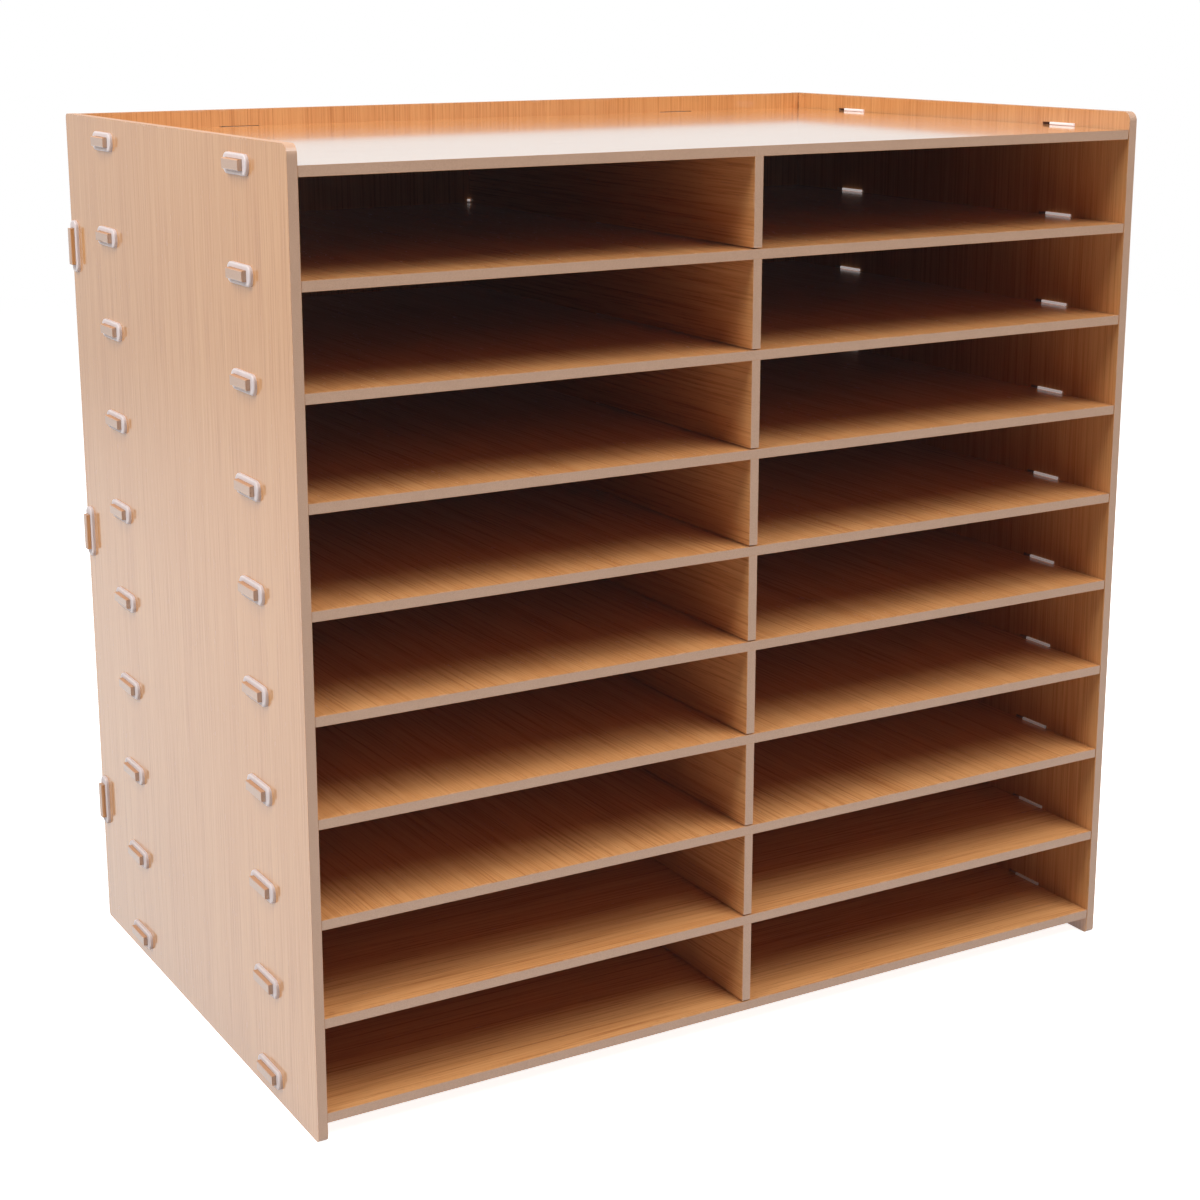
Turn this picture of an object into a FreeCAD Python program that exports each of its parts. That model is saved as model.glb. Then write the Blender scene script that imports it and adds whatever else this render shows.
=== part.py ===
"""Desktop literature organizer: two columns of open compartments made of slotted boards and clips.

Millimetres, +Z up, +X to the right and +Y to the rear. The origin lies under the middle of the
organizer, on the surface that its two side panels stand on.
"""
import FreeCAD, Part
import os

# Boards
board_thickness = 5.0
inner_width = 482.0
panel_depth = 315.0
compartment_height = 45.1
bottom_compartment_height = 44.0
shelf_count = 10
foot_height = 9.5
rim_height = 9.5
front_setback = 0.3
back_panel_inset = 5.0
back_panel_lift = 3.0

# Corner radii of the side panels
top_front_radius = 5.0
small_corner_radius = 2.5

# Tenons and their slots
tenon_length = 20.0
tenon_chamfer = 0.4
tenon_reach = 4.0
front_tenon_centre = 58.2
rear_tenon_centre = 55.0
back_tenon_offset = 147.0
upright_tenon_spacing = 163.0
divider_tenon_drop = 1.0
slot_front_room = 3.0
slot_rear_room = 0.5
slot_side_gap = 0.2

# Crossed boards
cross_gap = 0.3
cross_end_gap = 0.5
cross_lead_in = 3.0
divider_offset = 0.8
divider_lift = 0.7
shelf_end_gap = 0.25

# Clips
flange_length = 28.6
flange_margin = 2.4
flange_thickness = 1.8
flange_corner_radius = 4.0
flange_edge_radius = 0.8
window_gap = 0.25
tongue_thickness = 1.1
tongue_length = 16.5
tongue_gap = 0.15
lip_proud = 1.3
lip_height = 1.4
lip_overhang = 3.0
lip_radius = 0.4

# Derived places
pitch = compartment_height + board_thickness
half_inner = inner_width / 2
half_outer = half_inner + board_thickness
front = -panel_depth / 2
rear = panel_depth / 2
shelf_front = front + front_setback
back_outer = rear - back_panel_inset
back_inner = back_outer - board_thickness
shelf_middle = (shelf_front + back_inner) / 2
lowest_middle_z = foot_height + board_thickness + bottom_compartment_height
top_shelf_z = lowest_middle_z + (shelf_count - 2) * pitch
panel_height = top_shelf_z + board_thickness + rim_height
front_tenon_y = front + front_tenon_centre
rear_tenon_y = back_inner - rear_tenon_centre
upright_middle_z = (back_panel_lift + panel_height) / 2
upright_tenon_z = [upright_middle_z + step * upright_tenon_spacing for step in (-1, 0, 1)]
slot_height = board_thickness + tongue_gap + tongue_thickness + 2 * slot_side_gap
tip = board_thickness + tenon_reach
tolerance = 1e-6

X_AXIS = FreeCAD.Vector(1, 0, 0)
Y_AXIS = FreeCAD.Vector(0, 1, 0)
Z_AXIS = FreeCAD.Vector(0, 0, 1)


def block(low, high):
    """A box between two corners."""
    low = FreeCAD.Vector(*low)
    high = FreeCAD.Vector(*high)
    size = high - low
    return Part.makeBox(size.x, size.y, size.z, low)


class Seat:
    """Where a tenon leaves a board: along runs with its length, across through its thickness to the
    clip's tongue, and out through the board that it enters. The point lies on that board's inner
    face, at the middle of the tenon's length and on the side away from the tongue."""

    def __init__(self, point, along, across, out):
        self.point = FreeCAD.Vector(*point)
        self.along = along
        self.across = across
        self.out = out

    def at(self, along, across, out):
        """The point with these three distances from the seat."""
        return self.point + self.along * along + self.across * across + self.out * out

    def block(self, along, across, out):
        """A box given by its low and high distances in the three directions."""
        first = self.at(along[0], across[0], out[0])
        second = self.at(along[1], across[1], out[1])
        low = [min(first[i], second[i]) for i in range(3)]
        high = [max(first[i], second[i]) for i in range(3)]
        return block(low, high)


def parallel_edges(shape, direction):
    """The straight edges of a shape that run in one direction."""
    found = []
    for edge in shape.Edges:
        run = edge.Vertexes[-1].Point - edge.Vertexes[0].Point
        if run.Length > tolerance and run.cross(direction).Length < tolerance:
            found.append(edge)
    return found


def edges_on_plane(shape, point, normal):
    """The edges of a shape that lie in the plane through a point."""
    found = []
    for edge in shape.Edges:
        heights = [(vertex.Point - point).dot(normal) for vertex in edge.Vertexes]
        if max(heights) < tolerance and min(heights) > -tolerance:
            found.append(edge)
    return found


def side_seats(side, shelf_z):
    """The front and rear seats of one shelf's end in a side panel; side is -1 left, 1 right."""
    out = X_AXIS * side
    point_x = side * half_inner
    return [Seat((point_x, y, shelf_z), Y_AXIS, Z_AXIS, out) for y in (front_tenon_y, rear_tenon_y)]


def back_seats(shelf_z):
    """The left and right seats of one shelf's rear edge in the back panel; the tongues lie below."""
    places = (-back_tenon_offset, back_tenon_offset)
    top = shelf_z + board_thickness
    return [Seat((x, back_inner, top), X_AXIS, Z_AXIS * -1, Y_AXIS) for x in places]


def upright_seats(side):
    """The seats of the back panel's side tenons in one side panel."""
    out = X_AXIS * side
    point_x = side * half_inner
    return [Seat((point_x, back_inner, z), Z_AXIS, Y_AXIS, out) for z in upright_tenon_z]


def divider_seats():
    """The seats of the divider's rear tenons in the back panel."""
    face_x = divider_offset + board_thickness / 2
    heights = [z - divider_tenon_drop for z in upright_tenon_z]
    return [Seat((face_x, back_inner, z), Z_AXIS * -1, X_AXIS * -1, Y_AXIS) for z in heights]


def tenon(seat):
    """The tongue of a board that passes through another board and its clip."""
    half = tenon_length / 2
    tongue = seat.block((-half, half), (0, board_thickness), (-shelf_end_gap, tip))
    end_edges = edges_on_plane(tongue, seat.at(0, 0, tip), seat.out)
    long_edges = [edge for edge in end_edges if edge.Length > board_thickness + tolerance]
    return tongue.makeChamfer(tenon_chamfer, long_edges)


def slot(seat):
    """The opening for a tenon and the tongue of its clip."""
    half = tenon_length / 2
    along = (-half - slot_front_room, half + slot_rear_room)
    across = (-slot_side_gap, slot_height - slot_side_gap)
    return seat.block(along, across, (0, board_thickness))


def clip(seat):
    """A plastic clip: a flange round the tenon's end, a tongue through the slot, and a lip that
    holds the tongue at the slot's inner side."""
    half_flange = flange_length / 2
    out = (board_thickness, board_thickness + flange_thickness)
    flange_across = (-flange_margin, board_thickness + flange_margin)
    flange = seat.block((-half_flange, half_flange), flange_across, out)
    flange = flange.makeFillet(flange_corner_radius, parallel_edges(flange, seat.out))
    flange = flange.makeFillet(flange_edge_radius, edges_on_plane(flange, seat.at(0, 0, out[1]), seat.out))
    half_window = tenon_length / 2 + window_gap
    window_across = (-window_gap, board_thickness + tongue_gap)
    window = seat.block((-half_window, half_window), window_across, out)
    lowest = board_thickness + tongue_gap
    nose = -tenon_length / 2 - slot_front_room + window_gap
    tongue_end = nose + tongue_length
    tongue = seat.block((nose, tongue_end), (lowest, lowest + tongue_thickness), (0, board_thickness))
    lip = seat.block((nose - lip_overhang, tongue_end), (lowest, lowest + lip_height), (-lip_proud, 0))
    lip = lip.makeFillet(lip_radius, edges_on_plane(lip, seat.at(0, 0, -lip_proud), seat.out))
    return flange.cut(window).fuse([tongue, lip]).removeSplitter()


def board(plate, tenons, openings):
    """A flat board with its tenons joined on and its openings cut out."""
    shape = plate.fuse(tenons) if tenons else plate
    shape = shape.cut(openings) if openings else shape
    return shape.removeSplitter()


def shelf_heights():
    """The lower faces of all shelves, from the top one down."""
    return [top_shelf_z - index * pitch for index in range(shelf_count - 1)] + [foot_height]


def corner_edge(plate, y, z):
    """The edge of a plate that runs along X through one corner of its outline."""
    edges = parallel_edges(plate, X_AXIS)
    return [e for e in edges if abs(e.Vertexes[0].Y - y) + abs(e.Vertexes[0].Z - z) < tolerance]


def side_panel(side):
    """One upright side with its rounded corners and the slots for shelves and back panel."""
    near = side * half_inner
    far = side * half_outer
    plate = block((min(near, far), front, 0), (max(near, far), rear, panel_height))
    corners = [(front, panel_height, top_front_radius), (front, 0, small_corner_radius),
               (rear, panel_height, small_corner_radius), (rear, 0, small_corner_radius)]
    for y, z, radius in corners:
        plate = plate.makeFillet(radius, corner_edge(plate, y, z))
    seats = [seat for z in shelf_heights() for seat in side_seats(side, z)] + upright_seats(side)
    return board(plate, [], [slot(seat) for seat in seats])


def back_panel():
    """The board behind the shelves, with tenons into both sides and slots for shelves and divider."""
    half = half_inner - shelf_end_gap
    plate = block((-half, back_inner, back_panel_lift), (half, back_outer, panel_height))
    tenons = [tenon(seat) for side in (-1, 1) for seat in upright_seats(side)]
    seats = [seat for z in shelf_heights() for seat in back_seats(z)] + divider_seats()
    return board(plate, tenons, [slot(seat) for seat in seats])


def cross_slot(shelf_z):
    """The slot from a shelf's rear edge to its middle, with a lead-in at its mouth."""
    half = board_thickness / 2 + cross_gap
    mouth = half + cross_lead_in
    start = shelf_middle - cross_end_gap
    taper = back_inner - cross_lead_in
    outline = [(-half, start), (half, start), (half, taper), (mouth, back_inner),
               (-mouth, back_inner), (-half, taper), (-half, start)]
    wire = Part.makePolygon([FreeCAD.Vector(x + divider_offset, y, shelf_z) for x, y in outline])
    return Part.Face(wire).extrude(Z_AXIS * board_thickness)


def shelf(shelf_z, crossed):
    """One shelf with its side and rear tenons, and the slot for the divider if they cross."""
    half = half_inner - shelf_end_gap
    plate = block((-half, shelf_front, shelf_z), (half, back_inner, shelf_z + board_thickness))
    seats = side_seats(-1, shelf_z) + side_seats(1, shelf_z) + back_seats(shelf_z)
    return board(plate, [tenon(seat) for seat in seats], [cross_slot(shelf_z)] if crossed else [])


def divider():
    """The upright board between the two columns, notched from the front for each middle shelf."""
    left = divider_offset - board_thickness / 2
    right = divider_offset + board_thickness / 2
    bottom = foot_height + board_thickness + divider_lift
    plate = block((left, shelf_front, bottom), (right, back_inner, top_shelf_z))
    notch_end = shelf_middle + cross_end_gap
    notches = []
    for z in shelf_heights()[1:-1]:
        notch_top = z + board_thickness + divider_lift
        notches.append(block((left, shelf_front, z), (right, notch_end, notch_top)))
    return board(plate, [tenon(seat) for seat in divider_seats()], notches)


def shelf_name(index):
    """The name of a shelf, counted from the top."""
    names = {0: "top_shelf", shelf_count - 1: "bottom_shelf"}
    return names.get(index, "middle_shelf_%d" % index)


def clip_groups():
    """The clips, in groups by the board that they sit on."""
    groups = {}
    for side, name in ((-1, "left"), (1, "right")):
        pairs = [side_seats(side, z) for z in shelf_heights()]
        groups["clips_%s_side_front" % name] = [pair[0] for pair in pairs]
        groups["clips_%s_side_rear" % name] = [pair[1] for pair in pairs]
        groups["clips_%s_side_back_panel" % name] = upright_seats(side)
    pairs = [back_seats(z) for z in shelf_heights()]
    groups["clips_back_left"] = [pair[0] for pair in pairs]
    groups["clips_back_right"] = [pair[1] for pair in pairs]
    groups["clips_back_divider"] = divider_seats()
    return groups


def build():
    """All pieces by name."""
    pieces = {"side_panel_left": side_panel(-1), "side_panel_right": side_panel(1)}
    pieces["back_panel"] = back_panel()
    pieces["divider"] = divider()
    for index, z in enumerate(shelf_heights()):
        pieces[shelf_name(index)] = shelf(z, 0 < index < shelf_count - 1)
    for name, seats in clip_groups().items():
        pieces[name] = Part.makeCompound([clip(seat) for seat in seats])
    return pieces


os.makedirs("parts", exist_ok=True)
for name, shape in build().items():
    shape.exportStep("parts/%s.step" % name)
    state = "valid" if shape.isValid() else "not valid"
    print(name, len(shape.Solids), "solids", round(shape.Volume), "mm3", state)
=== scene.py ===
"""Finish, light and camera for a desktop literature organizer of grained boards and plastic clips.

The frame gives every piece in metres: +Z up, +X to the right, +Y to the rear. All boards and clips
keep the frame's shapes. This file gives them their finish, sets the stage and places the camera.
"""
import math

import bpy
from bpy.props import FloatProperty, FloatVectorProperty, PointerProperty
from mathutils import Matrix, Vector


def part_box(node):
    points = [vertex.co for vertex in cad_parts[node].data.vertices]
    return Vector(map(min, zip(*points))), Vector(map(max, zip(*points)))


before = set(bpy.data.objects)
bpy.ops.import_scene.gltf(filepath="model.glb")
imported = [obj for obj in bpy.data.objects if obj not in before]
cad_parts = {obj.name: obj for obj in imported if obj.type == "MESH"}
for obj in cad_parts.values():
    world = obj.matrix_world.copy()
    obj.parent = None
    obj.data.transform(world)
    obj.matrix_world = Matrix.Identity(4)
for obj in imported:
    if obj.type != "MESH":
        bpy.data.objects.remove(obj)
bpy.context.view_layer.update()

bl_info = {
    "name": "Literature Organizer",
    "version": (1, 0, 0),
    "blender": (4, 5, 0),
    "location": "3D View > Sidebar > Organizer",
    "description": "Finishes the boards and clips of a literature organizer and sets its stage",
    "category": "Object",
}

MILLIMETRE = 0.001
WHITE = (1.0, 1.0, 1.0)
BLACK = (0.0, 0.0, 0.0)

# Axes by number, as a board's thickness and grain name them
X, Y, Z = 0, 1, 2

# The upright boards' thickness axis and grain axis
UPRIGHT_BOARDS = {
    "side_panel_left": (X, Z),
    "side_panel_right": (X, Z),
    "back_panel": (Y, Z),
    "divider": (X, Y),
}
PANELS = ("side_panel_left", "side_panel_right", "back_panel")

# Shelves whose grain runs from side to side, where the others' runs from front to rear
ACROSS_SHELVES = ("top_shelf", "middle_shelf_8", "bottom_shelf")

# Boards with a clear glossy layer over the print
LACQUERED_BOARDS = (*PANELS, "top_shelf")

# How strongly pores and veins show on the boards whose print is paler than the rest, where 1 is full
PRINT_DEPTH = {"side_panel_left": 0.45, "side_panel_right": 0.35, "back_panel": 0.7, "top_shelf": 0.4}

# Sizes of the printed figure in metres: how far the grain sways, and the spots of each layer of it
SWAY_REACH = 1.6 * MILLIMETRE
SWAY_WIDTH = 30 * MILLIMETRE
SWAY_LENGTH = 90 * MILLIMETRE
BAND_LENGTH = 350 * MILLIMETRE
LINE_LENGTH = 160 * MILLIMETRE
STREAK_LENGTH = 50 * MILLIMETRE
PORE_WIDTH = 0.5 * MILLIMETRE
PORE_LENGTH = 7 * MILLIMETRE

# Noise levels between which a layer of the figure goes from none to full
DARK_LEVELS = (0.4, 0.85)
PORE_LEVELS = (0.6, 0.74)
STREAK_LEVELS = (0.42, 0.6)
VEIN_LEVELS = (0.5, 0.68)

# How far the figure shifts from board to board in the noise, and per metre through a board, so that
# no two boards or faces show the same one
BOARD_SHIFT = 7.3
FACE_SHIFT = 5.0

# Broad clouds on the print, and spots rubbed bare along the outline: sizes in metres and levels
CLOUD_SIZE = 110 * MILLIMETRE
CLOUD_LEVELS = (0.35, 0.75)
RUB_SIZE = 12 * MILLIMETRE
RUB_REACH = 1.6 * MILLIMETRE
RUB_LEVELS = (0.45, 0.75)

# Cut edges: sizes of fibres and stains in metres, levels of the fibres, and the share of the half
# thickness between which the rim of print begins
FIBRE_SIZE = 0.45 * MILLIMETRE
FIBRE_LEVELS = (0.3, 0.75)
STAIN_SIZE = 20 * MILLIMETRE
RIM_LEVELS = (0.86, 0.97)

# Parts of the normal between which a surface comes to count as a board's face, and as facing up
FACE_LEVELS = (0.6, 0.9)
UPWARD_LEVELS = (0.2, 0.8)

# Width in metres of the change from the room between the panels to the slots in them
ROOM_STEP = 0.3 * MILLIMETRE

# Bump heights of boards and plastic in metres, and how strongly print and fibres use the boards'
BOARD_BUMP = 0.06 * MILLIMETRE
PLASTIC_BUMP = 0.02 * MILLIMETRE
DARK_RELIEF = -0.25
PORE_RELIEF = -0.6
FIBRE_RELIEF = 1.5

# Refraction of board, clear layer and plastic, and the clear layer's roughness
BOARD_IOR = 1.5
LACQUER_IOR = 1.5
LACQUER_ROUGHNESS = 0.08
PLASTIC_IOR = 1.46

# Plastic clips: sizes of slightly darker patches and of the mould's grain in metres, and levels of the
# patches
CLIP_PREFIX = "clips_"
PATCH_SIZE = 6 * MILLIMETRE
PATCH_LEVELS = (0.4, 0.8)
MOULD_GRAIN = 0.25 * MILLIMETRE

# Heights in metres above the highest middle shelf between which the painted glow on the divider's clip tip
# rises
TIP_RISE = (0.3 * MILLIMETRE, 1.3 * MILLIMETRE)

# The floor, in metres: how far off it fades to plain white, and where its bright part starts before
# the organizer. Then the share of the bright part's reach that has full brightness.
HORIZON_FADE = (1.0, 3.0)
LIT_FRONT = (-0.9, -0.3)
LIT_CORE = 0.3

# Each lamp's place and size in metres, and the setting that holds its power
LAMPS = {
    "key": ((0.8, -1.7, 2.9), 1.8, "key_power"),
    "side": ((-1.3, -0.15, 1.7), 1.2, "side_power"),
    "top": ((0.3, -0.6, 2.3), 1.2, "top_power"),
}
LAMP_AIM = (0.0, 0.0, 0.25)

# The photograph's camera: its place in metres and its direction
CAMERA_PLACE = (-0.6135, -1.0487, 0.5335)
CAMERA_AZIMUTH = math.radians(29.576)
CAMERA_ELEVATION = math.radians(-13.205)
CAMERA_ROLL = math.radians(-0.238)
CAMERA_REACH = 100.0

# Its picture: width, middle, focal length and the optical axis in pixels, and the sensor in mm
PICTURE_WIDTH = 1200
PICTURE_MIDDLE = (PICTURE_WIDTH - 1) / 2
FOCAL_PIXELS = 2196.2
AXIS_PIXEL = (566.5, 514.9)
SENSOR_WIDTH = 36.0


def linear(red, green, blue):
    """A screen colour from 0 to 255 as the linear colour that shaders take."""
    def channel(value):
        value /= 255
        return value / 12.92 if value <= 0.04045 else ((value + 0.055) / 1.055) ** 2.4
    return (channel(red), channel(green), channel(blue))


class BoardFinish(bpy.types.PropertyGroup):
    """Colours and sizes of the grained boards."""

    light: FloatVectorProperty(
        name="Light grain", description="Palest colour of the printed grain",
        subtype="COLOR", default=linear(225, 167, 109))
    dark: FloatVectorProperty(
        name="Dark grain", description="Colour of the printed grain's darker bands",
        subtype="COLOR", default=linear(203, 138, 80))
    pore: FloatVectorProperty(
        name="Pores", description="Colour of the short dark pores",
        subtype="COLOR", default=linear(156, 90, 48))
    edge: FloatVectorProperty(
        name="Bare edge", description="Colour of the cut fibreboard edges",
        subtype="COLOR", default=linear(207, 168, 141))
    edge_dark: FloatVectorProperty(
        name="Edge fibres", description="Colour of the darker fibres in a cut edge",
        subtype="COLOR", default=linear(183, 144, 118))
    band_width: FloatProperty(
        name="Band width", description="Width of the broad bands across the grain",
        unit="LENGTH", default=11 * MILLIMETRE)
    line_width: FloatProperty(
        name="Line width", description="Width of the middle lines of the grain",
        unit="LENGTH", default=1.4 * MILLIMETRE)
    streak_width: FloatProperty(
        name="Streak width", description="Width of the finest streaks of the grain",
        unit="LENGTH", default=0.8 * MILLIMETRE)
    roughness: FloatProperty(
        name="Roughness", description="Roughness of the laminated faces", default=0.13)
    lacquer: FloatProperty(
        name="Lacquer", description="Weight of the clear layer over the laminate", default=1.0)
    veins: FloatProperty(
        name="Veins", description="How far the veins take on the pores' colour", default=0.42)
    pores: FloatProperty(
        name="Pore strength", description="How far the pores take on their colour", default=0.5)
    wear: FloatProperty(
        name="Wear", description="How far the rubbed outline shows the bare board", default=0.5)
    clouds: FloatProperty(
        name="Clouds", description="How far broad clouds darken the print", default=0.16)
    rim: FloatProperty(
        name="Rim", description="How far the print shows along a cut edge's rims", default=0.45)
    haze: FloatVectorProperty(
        name="Haze", description="Faint light that keeps the darkest places from plain black",
        subtype="COLOR", default=(0.0022, 0.0026, 0.0032))
    edge_seal: FloatProperty(
        name="Edge seal", description="Weight of the clear seal on the cut edges, upper ones apart",
        default=1.0)
    edge_roughness: FloatProperty(
        name="Edge roughness", description="Roughness of the cut edges", default=0.55)
    upper_dullness: FloatProperty(
        name="Upper dullness", description="Roughness that is added where a cut edge faces up",
        default=0.4)
    tenon_roughness: FloatProperty(
        name="Tenon roughness", description="Roughness of the tenons outside the panels", default=0.2)


class ClipFinish(bpy.types.PropertyGroup):
    """Colours of the plastic clips."""

    plastic: FloatVectorProperty(
        name="Plastic", description="Colour of the clips",
        subtype="COLOR", default=linear(226, 214, 213))
    patch_tone: FloatVectorProperty(
        name="Patch tone", description="Colour of the clips' slightly darker patches",
        subtype="COLOR", default=linear(213, 200, 200))
    # Painted light: the clips' inner lips glow as if lit, though they are no lamp
    glow: FloatProperty(
        name="Painted light",
        description="Strength of the painted glow on the clips' inner lips",
        default=0.45)
    low_glow: FloatVectorProperty(
        name="Low passed light", description="Colour of the passed light near the floor",
        subtype="COLOR", default=(0.05, 0.045, 0.045))
    high_glow: FloatVectorProperty(
        name="High passed light", description="Colour of the passed light near the top",
        subtype="COLOR", default=(0.80, 0.74, 0.74))
    glow_top: FloatProperty(
        name="Painted light's top", description="Height at which the passed light is strongest",
        unit="LENGTH", default=450 * MILLIMETRE)
    roughness: FloatProperty(
        name="Roughness", description="Roughness of the moulded plastic", default=0.38)


class StageSettings(bpy.types.PropertyGroup):
    """The floor, the lamps and what the organizer mirrors."""

    floor: FloatVectorProperty(
        name="Floor", description="Colour of the floor", subtype="COLOR", default=(0.9, 0.9, 0.9))
    floor_bounce: FloatVectorProperty(
        name="Floor bounce", description="Colour of the light that the floor throws back",
        subtype="COLOR", default=(0.6, 0.6, 0.6))
    floor_size: FloatProperty(
        name="Floor size", description="Length of the floor's sides", unit="LENGTH", default=40.0)
    lift: FloatProperty(
        name="Lift", description="Light that the floor adds for the camera", default=0.88)
    wall: FloatProperty(
        name="Wall", description="Brightness of the wall behind the camera in reflections", default=0.3)
    wall_width: FloatProperty(
        name="Wall width", description="Width of the wall behind the camera", unit="LENGTH", default=12.0)
    wall_distance: FloatProperty(
        name="Wall distance", description="Distance of that wall from the organizer's middle",
        unit="LENGTH", default=4.0)
    key_power: FloatProperty(
        name="Key light", description="Power of the soft light above and before the organizer",
        unit="POWER", default=67.0)
    side_power: FloatProperty(
        name="Side light", description="Power of the soft light on the left",
        unit="POWER", default=32.0)
    top_power: FloatProperty(
        name="Top light", description="Power of the soft light overhead",
        unit="POWER", default=8.0)
    ambient: FloatProperty(
        name="Ambient", description="Strength of the light from all round", default=0.14)
    backdrop: FloatProperty(
        name="Backdrop", description="Brightness of the surroundings in reflections", default=0.84)
    lit_floor: FloatProperty(
        name="Lit floor", description="Brightness of the floor by the organizer in reflections",
        default=0.98)
    lit_reach: FloatProperty(
        name="Lit reach", description="How far the brightly lit part of the floor reaches",
        unit="LENGTH", default=2.6)
    far_floor: FloatProperty(
        name="Far floor", description="Brightness of the floor far away in reflections", default=0.65)


class Number:
    """A number that varies over a surface. Arithmetic on it adds Math nodes."""

    def __init__(self, shader, socket):
        self.shader = shader
        self.socket = socket

    def maths(self, operation, *values):
        made = self.shader.node("ShaderNodeMath", {"operation": operation}, dict(enumerate(values)))
        return Number(self.shader, made.outputs[0])

    def __add__(self, other):
        return self.maths("ADD", self, other)

    __radd__ = __add__

    def __sub__(self, other):
        return self.maths("SUBTRACT", self, other)

    def __rsub__(self, other):
        return self.maths("SUBTRACT", other, self)

    def __mul__(self, other):
        return self.maths("MULTIPLY", self, other)

    __rmul__ = __mul__

    def __truediv__(self, other):
        return self.maths("DIVIDE", self, other)

    def __pow__(self, other):
        return self.maths("POWER", self, other)

    def __abs__(self):
        return self.maths("ABSOLUTE", self)

    def least(self, other):
        return self.maths("MINIMUM", self, other)

    def most(self, other):
        return self.maths("MAXIMUM", self, other)

    def rise(self, low, high):
        """0 below low, 1 above high, and smooth between them."""
        made = self.shader.node(
            "ShaderNodeMapRange", {"interpolation_type": "SMOOTHSTEP"},
            {"Value": self, "From Min": low, "From Max": high, "To Min": 0.0, "To Max": 1.0})
        return Number(self.shader, made.outputs[0])


class Shader:
    """The node tree of a material or of the world."""

    def __init__(self, owner):
        owner.use_nodes = True
        self.tree = owner.node_tree
        self.tree.nodes.clear()

    def node(self, kind, settings=None, inputs=None):
        """A new node: its settings are set first, then each input's value or link."""
        made = self.tree.nodes.new(kind)
        for name, value in (settings or {}).items():
            setattr(made, name, value)
        for name, value in (inputs or {}).items():
            self.feed(made.inputs[name], value)
        return made

    def feed(self, socket, value):
        """Links a socket to a number or another socket, or sets its value."""
        if isinstance(value, Number):
            value = value.socket
        if isinstance(value, bpy.types.NodeSocket):
            self.tree.links.new(value, socket)
        elif socket.type == "RGBA":
            socket.default_value = (*value[:3], 1.0)
        else:
            socket.default_value = value

    def blend(self, factor, first, second):
        """A colour between two colours."""
        settings = {"data_type": "RGBA", "clamp_factor": True}
        made = self.node("ShaderNodeMix", settings, {0: factor, 6: first, 7: second})
        return made.outputs[2]

    def place(self):
        """The surface point's three coordinates in the frame, in metres."""
        made = self.node("ShaderNodeTexCoord")
        split = self.node("ShaderNodeSeparateXYZ", inputs={0: made.outputs["Object"]})
        return [Number(self, socket) for socket in split.outputs]

    def facing(self):
        """The three parts of the surface's own normal."""
        made = self.node("ShaderNodeTexCoord")
        split = self.node("ShaderNodeSeparateXYZ", inputs={0: made.outputs["Normal"]})
        return [Number(self, socket) for socket in split.outputs]

    def noise(self, point, detail, roughness=0.5):
        """Smooth noise from 0 to 1 at a point of three numbers."""
        vector = self.node("ShaderNodeCombineXYZ", inputs=dict(enumerate(point)))
        inputs = {"Vector": vector.outputs[0], "Scale": 1.0, "Detail": detail, "Roughness": roughness}
        made = self.node("ShaderNodeTexNoise", inputs=inputs)
        return Number(self, made.outputs[0])

    def mottle(self, point, size, detail, roughness=0.5):
        """Noise whose spots are of one size every way, in metres."""
        return self.noise([value / size for value in point], detail, roughness)

    def bump(self, height, distance, strength):
        """A normal that follows a height; distance is the height's scale in metres."""
        inputs = {"Height": height, "Distance": distance, "Strength": strength}
        return self.node("ShaderNodeBump", inputs=inputs).outputs[0]

    def light(self, strength):
        """A surface that gives off white light."""
        inputs = {"Color": WHITE, "Strength": strength}
        return self.node("ShaderNodeEmission", inputs=inputs).outputs[0]

    def paper(self, colour):
        """A matt surface of one colour."""
        return self.node("ShaderNodeBsdfDiffuse", inputs={"Color": colour}).outputs[0]

    def choose(self, factor, first, second):
        """The first surface where the factor is 0 and the second where it is 1."""
        return self.node("ShaderNodeMixShader", inputs={0: factor, 1: first, 2: second}).outputs[0]

    def finish(self, surface):
        """Ends the tree with a surface shader."""
        self.node("ShaderNodeOutputMaterial", inputs={"Surface": surface})


def board_axes():
    """Every board's thickness axis and grain axis."""
    axes = dict(UPRIGHT_BOARDS)
    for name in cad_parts:
        if "_shelf" in name:
            axes[name] = (Z, X if name in ACROSS_SHELVES else Y)
    return axes


def printed_grain(shader, across, along, seed, depth, finish):
    """The laminate's printed grain: its colour, and its darkness and pores from 0 to 1."""
    sway = shader.noise((across / SWAY_WIDTH, along / SWAY_LENGTH, seed), detail=1.0)
    across = across + (sway - 0.5) * SWAY_REACH
    layers = []
    for width, length, detail in ((finish.band_width, BAND_LENGTH, 2.0),
                                  (finish.line_width, LINE_LENGTH, 3.0),
                                  (finish.streak_width, STREAK_LENGTH, 2.0),
                                  (PORE_WIDTH, PORE_LENGTH, 1.0)):
        seed += 1.0
        layers.append(shader.noise((across / width, along / length, seed), detail))
    bands, lines, streaks, pores = layers
    darkness = (bands * 0.3 + lines * 0.45 + streaks * 0.45).rise(*DARK_LEVELS)
    pore = pores.rise(*PORE_LEVELS) * (streaks.rise(*STREAK_LEVELS) * 0.75 + 0.1)
    vein = (lines * 0.4 + streaks * 0.6).rise(*VEIN_LEVELS)
    colour = shader.blend(darkness, finish.light, finish.dark)
    colour = shader.blend((pore * finish.pores + vein * finish.veins) * depth, colour, finish.pore)
    return colour, darkness, pore


def outline_distance(point, name, thickness):
    """How far a point of a board lies inside the board's outline, in metres."""
    low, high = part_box(name)
    nearest = None
    for axis in (X, Y, Z):
        if axis == thickness:
            continue
        inside = (point[axis] - low[axis]).least(high[axis] - point[axis])
        nearest = inside if nearest is None else nearest.least(inside)
    return nearest


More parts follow.
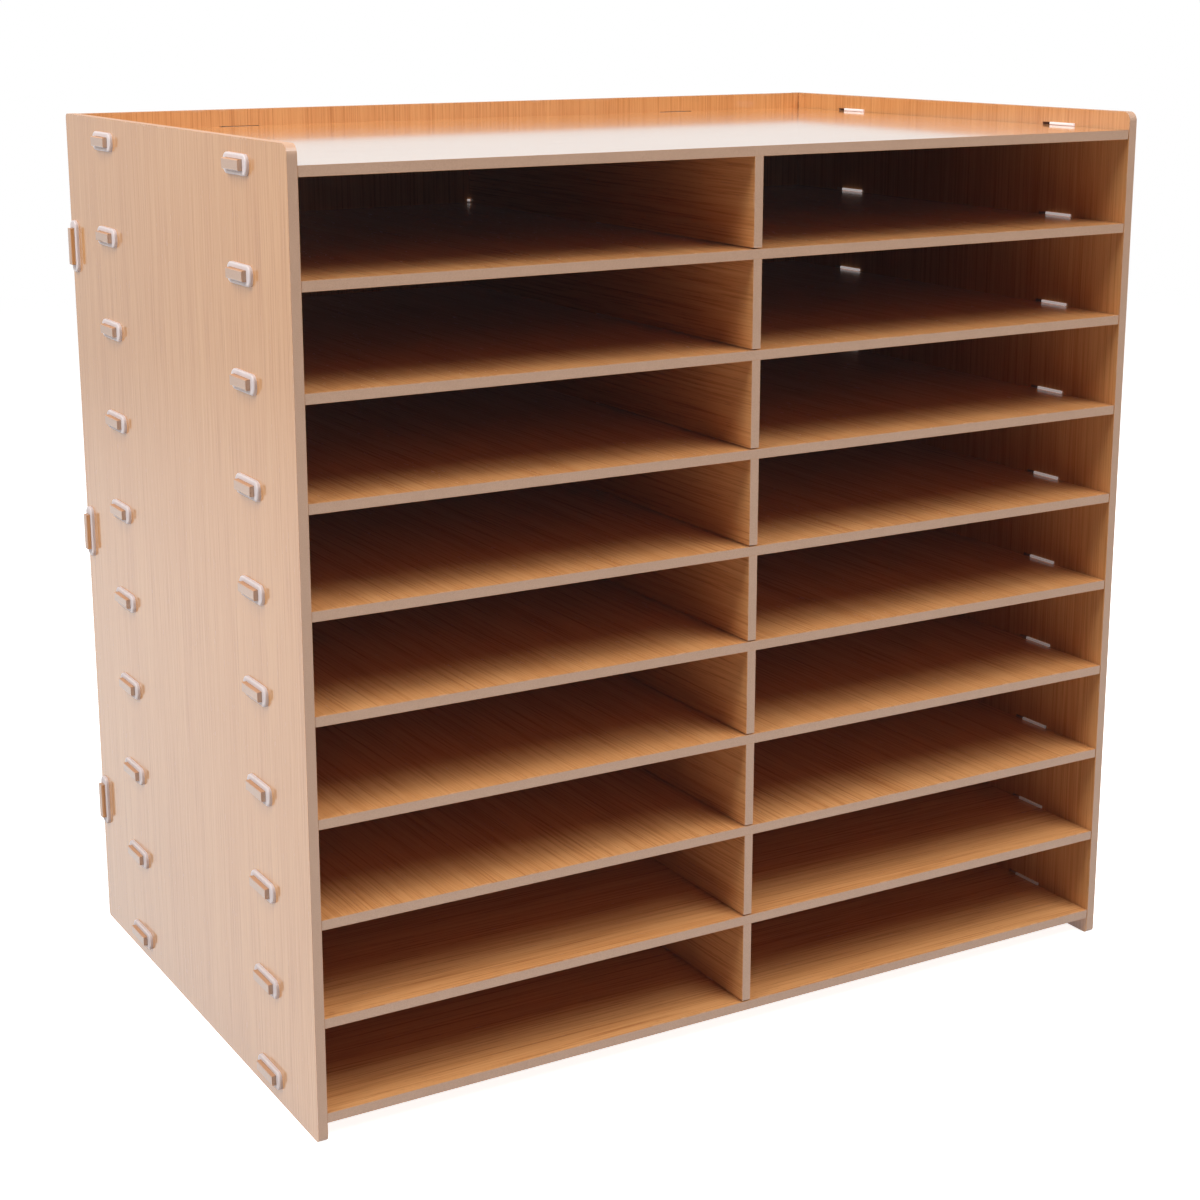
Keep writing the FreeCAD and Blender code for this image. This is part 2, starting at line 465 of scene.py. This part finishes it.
def room_share(point):
    """1 between the panels' inner faces, and 0 where tenons and flanges are."""
    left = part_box("side_panel_left")[1][X]
    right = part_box("side_panel_right")[0][X]
    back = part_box("back_panel")[0][Y]
    across = point[X].rise(left - ROOM_STEP, left) * (1.0 - point[X].rise(right, right + ROOM_STEP))
    return across * (1.0 - point[Y].rise(back, back + ROOM_STEP))


def laminate(shader, name, point, thickness, grain, finish):
    """The print on a board's faces: its colour, roughness and relief."""
    seed = sorted(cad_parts).index(name) * BOARD_SHIFT
    depth = PRINT_DEPTH.get(name, 1.0)
    width = X + Y + Z - thickness - grain
    across = point[width] + point[thickness] * FACE_SHIFT
    colour, darkness, pore = printed_grain(shader, across, point[grain], seed, depth, finish)
    x, y, z = (value / CLOUD_SIZE for value in point)
    cloud = shader.noise((x, y, z + seed), detail=2.0)
    spots = shader.mottle(point, RUB_SIZE, detail=3.0).rise(*RUB_LEVELS)
    worn = (1.0 - outline_distance(point, name, thickness).rise(0.0, RUB_REACH)) * spots
    colour = shader.blend(worn * finish.wear, colour, finish.edge)
    colour = shader.blend(cloud.rise(*CLOUD_LEVELS) * finish.clouds, colour, finish.dark)
    rough = finish.roughness + cloud * 0.06 + pore * 0.12 + darkness * 0.04 + worn * 0.25
    return colour, rough, darkness * DARK_RELIEF + pore * PORE_RELIEF


def cut_edge(shader, name, point, thickness, finish):
    """Bare fibreboard between thin rims of print: its colour and relief."""
    low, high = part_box(name)
    middle = (low[thickness] + high[thickness]) / 2
    half = (high[thickness] - low[thickness]) / 2
    fibres = shader.mottle(point, FIBRE_SIZE, detail=3.0, roughness=0.7)
    stains = shader.mottle(point, STAIN_SIZE, detail=2.0)
    dark = fibres.rise(*FIBRE_LEVELS) * 0.6 + stains * 0.3
    colour = shader.blend(dark, finish.edge, finish.edge_dark)
    rim = (abs(point[thickness] - middle) / half).rise(*RIM_LEVELS)
    return shader.blend(rim * finish.rim, colour, finish.dark), fibres * FIBRE_RELIEF


def board_material(name, thickness, grain, finish):
    """Grained laminate on a board's two faces and bare fibreboard on its edges."""
    material = bpy.data.materials.new(name + "_finish")
    shader = Shader(material)
    point = shader.place()
    normal = shader.facing()
    print_colour, print_rough, print_relief = laminate(shader, name, point, thickness, grain, finish)
    edge_colour, edge_relief = cut_edge(shader, name, point, thickness, finish)
    edge_rough = finish.edge_roughness
    face = abs(normal[thickness]).rise(*FACE_LEVELS)
    if name not in PANELS:
        room = room_share(point)
        face = face * room
        edge_rough = finish.tenon_roughness + room * (finish.edge_roughness - finish.tenon_roughness)
    edge = 1.0 - face
    upper = normal[Z].rise(*UPWARD_LEVELS)
    lacquer = finish.lacquer if name in LACQUERED_BOARDS else 0.0
    relief = face * print_relief + edge * edge_relief
    surface = shader.node("ShaderNodeBsdfPrincipled", inputs={
        "Base Color": shader.blend(face, edge_colour, print_colour),
        "Roughness": face * print_rough + edge * (edge_rough + upper * finish.upper_dullness),
        "Normal": shader.bump(relief, BOARD_BUMP, strength=0.6),
        "IOR": BOARD_IOR,
        "Coat Weight": face * lacquer + edge * (1.0 - upper) * finish.edge_seal,
        "Coat Roughness": LACQUER_ROUGHNESS,
        "Coat IOR": LACQUER_IOR,
        # A faint painted glow on every board keeps the darkest places from plain black
        "Emission Color": finish.haze,
        "Emission Strength": 1.0})
    shader.finish(surface.outputs[0])
    return material


def glow_heights(name, finish):
    """The heights between which a clip's painted glow rises.

    Of the clips on the divider, only the tip that reaches through the highest middle shelf gets any.
    """
    if name != "clips_back_divider":
        return 0.0, finish.glow_top
    shelf = max(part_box(node)[1][Z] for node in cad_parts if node.startswith("middle_shelf_"))
    return shelf + TIP_RISE[0], shelf + TIP_RISE[1]


def clip_material(name, finish):
    """Off-white milky plastic, a little darker in random patches, with a painted glow on its inner lip."""
    material = bpy.data.materials.new(name + "_finish")
    shader = Shader(material)
    point = shader.place()
    patches = shader.mottle(point, PATCH_SIZE, detail=3.0)
    grain = shader.mottle(point, MOULD_GRAIN, detail=2.0)
    # Painted glow on the inner lips, dim near the floor and bright near the top, standing in for light
    # that falls on them
    painted = shader.blend(point[Z].rise(*glow_heights(name, finish)), finish.low_glow, finish.high_glow)
    surface = shader.node("ShaderNodeBsdfPrincipled", inputs={
        # Slightly darker random patches on the plastic
        "Base Color": shader.blend(patches.rise(*PATCH_LEVELS) * 0.5, finish.plastic, finish.patch_tone),
        "Roughness": finish.roughness + patches * 0.12 + grain * 0.05,
        "Normal": shader.bump(grain, PLASTIC_BUMP, strength=0.5),
        "IOR": PLASTIC_IOR,
        # The painted glow shows only on the parts between the panels
        "Emission Color": shader.blend(room_share(point), BLACK, painted),
        "Emission Strength": finish.glow})
    shader.finish(surface.outputs[0])
    return material


def dress(name, material):
    """Gives a piece of the frame its finish."""
    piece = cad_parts[name]
    piece.data.materials.clear()
    piece.data.materials.append(material)


class ORGANIZER_OT_boards(bpy.types.Operator):
    """Finish the boards with printed grain and bare edges"""

    bl_idname = "organizer.boards"
    bl_label = "Finish Boards"

    def execute(self, context):
        finish = context.scene.organizer_boards
        for name, (thickness, grain) in board_axes().items():
            dress(name, board_material(name, thickness, grain, finish))
        return {"FINISHED"}


class ORGANIZER_OT_clips(bpy.types.Operator):
    """Finish the plastic clips"""

    bl_idname = "organizer.clips"
    bl_label = "Finish Clips"

    def execute(self, context):
        finish = context.scene.organizer_clips
        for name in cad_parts:
            if name.startswith(CLIP_PREFIX):
                dress(name, clip_material(name, finish))
        return {"FINISHED"}


def floor_material(settings):
    """A pale floor: white to the camera apart from shadows, and brightly lit near the organizer."""
    material = bpy.data.materials.new("floor_finish")
    shader = Shader(material)
    path = shader.node("ShaderNodeLightPath")
    point = shader.place()
    away = (point[X] ** 2 + point[Y] ** 2) ** 0.5
    lifted = shader.node("ShaderNodeAddShader", inputs={
        0: shader.paper(settings.floor), 1: shader.light(settings.lift)})
    plain = shader.choose(away.rise(*HORIZON_FADE), lifted.outputs[0], shader.light(1.0))
    near = 1.0 - away.rise(settings.lit_reach * LIT_CORE, settings.lit_reach)
    rear = shader.choose(near, shader.light(settings.far_floor), shader.light(settings.lit_floor))
    dim_paper = shader.paper(settings.floor_bounce)
    mirrored = shader.choose(point[Y].rise(*LIT_FRONT), dim_paper, rear)
    seen = shader.choose(path.outputs["Is Camera Ray"], dim_paper, plain)
    shader.finish(shader.choose(path.outputs["Is Glossy Ray"], seen, mirrored))
    return material


def wall_material(settings):
    """White when seen itself, dim where the organizer mirrors it, and otherwise black."""
    material = bpy.data.materials.new("wall_finish")
    shader = Shader(material)
    path = shader.node("ShaderNodeLightPath")
    mirrored = shader.choose(
        path.outputs["Is Glossy Ray"], shader.light(0.0), shader.light(settings.wall))
    shader.finish(shader.choose(path.outputs["Is Camera Ray"], mirrored, shader.light(1.0)))
    return material


def flat_sheet(name, corners, material):
    """A flat sheet of the stage with four corners."""
    mesh = bpy.data.meshes.new(name)
    mesh.from_pydata(corners, [], [(0, 1, 2, 3)])
    mesh.materials.append(material)
    sheet = bpy.data.objects.new(name, mesh)
    bpy.context.scene.collection.objects.link(sheet)
    return sheet


def make_floor(settings):
    """A wide flat floor under the organizer."""
    half = settings.floor_size / 2
    corners = [(-half, -half, 0), (half, -half, 0), (half, half, 0), (-half, half, 0)]
    floor = flat_sheet("floor", corners, floor_material(settings))


def make_wall(settings):
    """A wall behind the camera, half as high as it is wide."""
    half = settings.wall_width / 2
    y = -settings.wall_distance
    corners = [(-half, y, 0), (half, y, 0), (half, y, half), (-half, y, half)]
    wall = flat_sheet("wall", corners, wall_material(settings))


def light_world(settings):
    """White to the camera, a little dimmer in reflections, and dim as light."""
    world = bpy.data.worlds.new("studio")
    bpy.context.scene.world = world
    shader = Shader(world)
    path = shader.node("ShaderNodeLightPath")
    camera = Number(shader, path.outputs["Is Camera Ray"]).most(
        Number(shader, path.outputs["Is Transmission Ray"]))
    glossy = Number(shader, path.outputs["Is Glossy Ray"])
    other = 1.0 - camera.most(glossy)
    strength = camera + glossy * settings.backdrop + other * settings.ambient
    glow = shader.node("ShaderNodeBackground", inputs={"Color": WHITE, "Strength": strength})
    shader.node("ShaderNodeOutputWorld", inputs={"Surface": glow.outputs[0]})


def make_lamp(name, place, size, power):
    """A square soft lamp that is turned to the organizer."""
    data = bpy.data.lights.new(name, "AREA")
    data.shape = "SQUARE"
    data.size = size
    data.energy = power
    lamp = bpy.data.objects.new(name, data)
    lamp.location = place
    lamp.rotation_euler = (Vector(LAMP_AIM) - Vector(place)).to_track_quat("-Z", "Y").to_euler()
    bpy.context.scene.collection.objects.link(lamp)


def make_camera():
    """The camera at the photograph's viewing angle."""
    data = bpy.data.cameras.new("camera")
    data.sensor_width = SENSOR_WIDTH
    data.lens = SENSOR_WIDTH * FOCAL_PIXELS / PICTURE_WIDTH
    data.shift_x = (PICTURE_MIDDLE - AXIS_PIXEL[0]) / PICTURE_WIDTH
    data.shift_y = (AXIS_PIXEL[1] - PICTURE_MIDDLE) / PICTURE_WIDTH
    data.clip_end = CAMERA_REACH
    ahead = Vector((math.sin(CAMERA_AZIMUTH) * math.cos(CAMERA_ELEVATION),
                    math.cos(CAMERA_AZIMUTH) * math.cos(CAMERA_ELEVATION),
                    math.sin(CAMERA_ELEVATION)))
    level = Vector((math.cos(CAMERA_AZIMUTH), -math.sin(CAMERA_AZIMUTH), 0))
    above = level.cross(ahead)
    right = math.cos(CAMERA_ROLL) * level + math.sin(CAMERA_ROLL) * above
    up = math.cos(CAMERA_ROLL) * above - math.sin(CAMERA_ROLL) * level
    camera = bpy.data.objects.new("camera", data)
    turn = Matrix((right, up, -ahead)).transposed().to_4x4()
    camera.matrix_world = Matrix.Translation(CAMERA_PLACE) @ turn
    bpy.context.scene.collection.objects.link(camera)
    bpy.context.scene.camera = camera


class ORGANIZER_OT_stage(bpy.types.Operator):
    """Set the floor, the lamps and the camera"""

    bl_idname = "organizer.stage"
    bl_label = "Set Stage"

    def execute(self, context):
        settings = context.scene.organizer_stage
        context.scene.view_settings.view_transform = "Standard"
        make_floor(settings)
        make_wall(settings)
        light_world(settings)
        for name, (place, size, power) in LAMPS.items():
            make_lamp(name, place, size, getattr(settings, power))
        make_camera()
        return {"FINISHED"}


class ORGANIZER_PT_panel(bpy.types.Panel):
    """Sidebar panel of the organizer"""

    bl_idname = "ORGANIZER_PT_panel"
    bl_label = "Literature Organizer"
    bl_space_type = "VIEW_3D"
    bl_region_type = "UI"
    bl_category = "Organizer"

    def draw(self, context):
        layout = self.layout
        for operator, group in zip(OPERATORS, GROUPS):
            box = layout.box()
            settings = getattr(context.scene, group)
            for name in settings.__annotations__:
                box.prop(settings, name)
            box.operator(operator.bl_idname)


GROUPS = {"organizer_boards": BoardFinish, "organizer_clips": ClipFinish, "organizer_stage": StageSettings}
OPERATORS = (ORGANIZER_OT_boards, ORGANIZER_OT_clips, ORGANIZER_OT_stage)


def register():
    for name, group in GROUPS.items():
        bpy.utils.register_class(group)
        setattr(bpy.types.Scene, name, PointerProperty(type=group))
    for operator in OPERATORS:
        bpy.utils.register_class(operator)
    bpy.utils.register_class(ORGANIZER_PT_panel)


def unregister():
    bpy.utils.unregister_class(ORGANIZER_PT_panel)
    for operator in reversed(OPERATORS):
        bpy.utils.unregister_class(operator)
    for name, group in reversed(GROUPS.items()):
        delattr(bpy.types.Scene, name)
        bpy.utils.unregister_class(group)


def main():
    register()
    bpy.ops.organizer.boards()
    bpy.ops.organizer.clips()
    bpy.ops.organizer.stage()


if __name__ == "__main__":
    main()
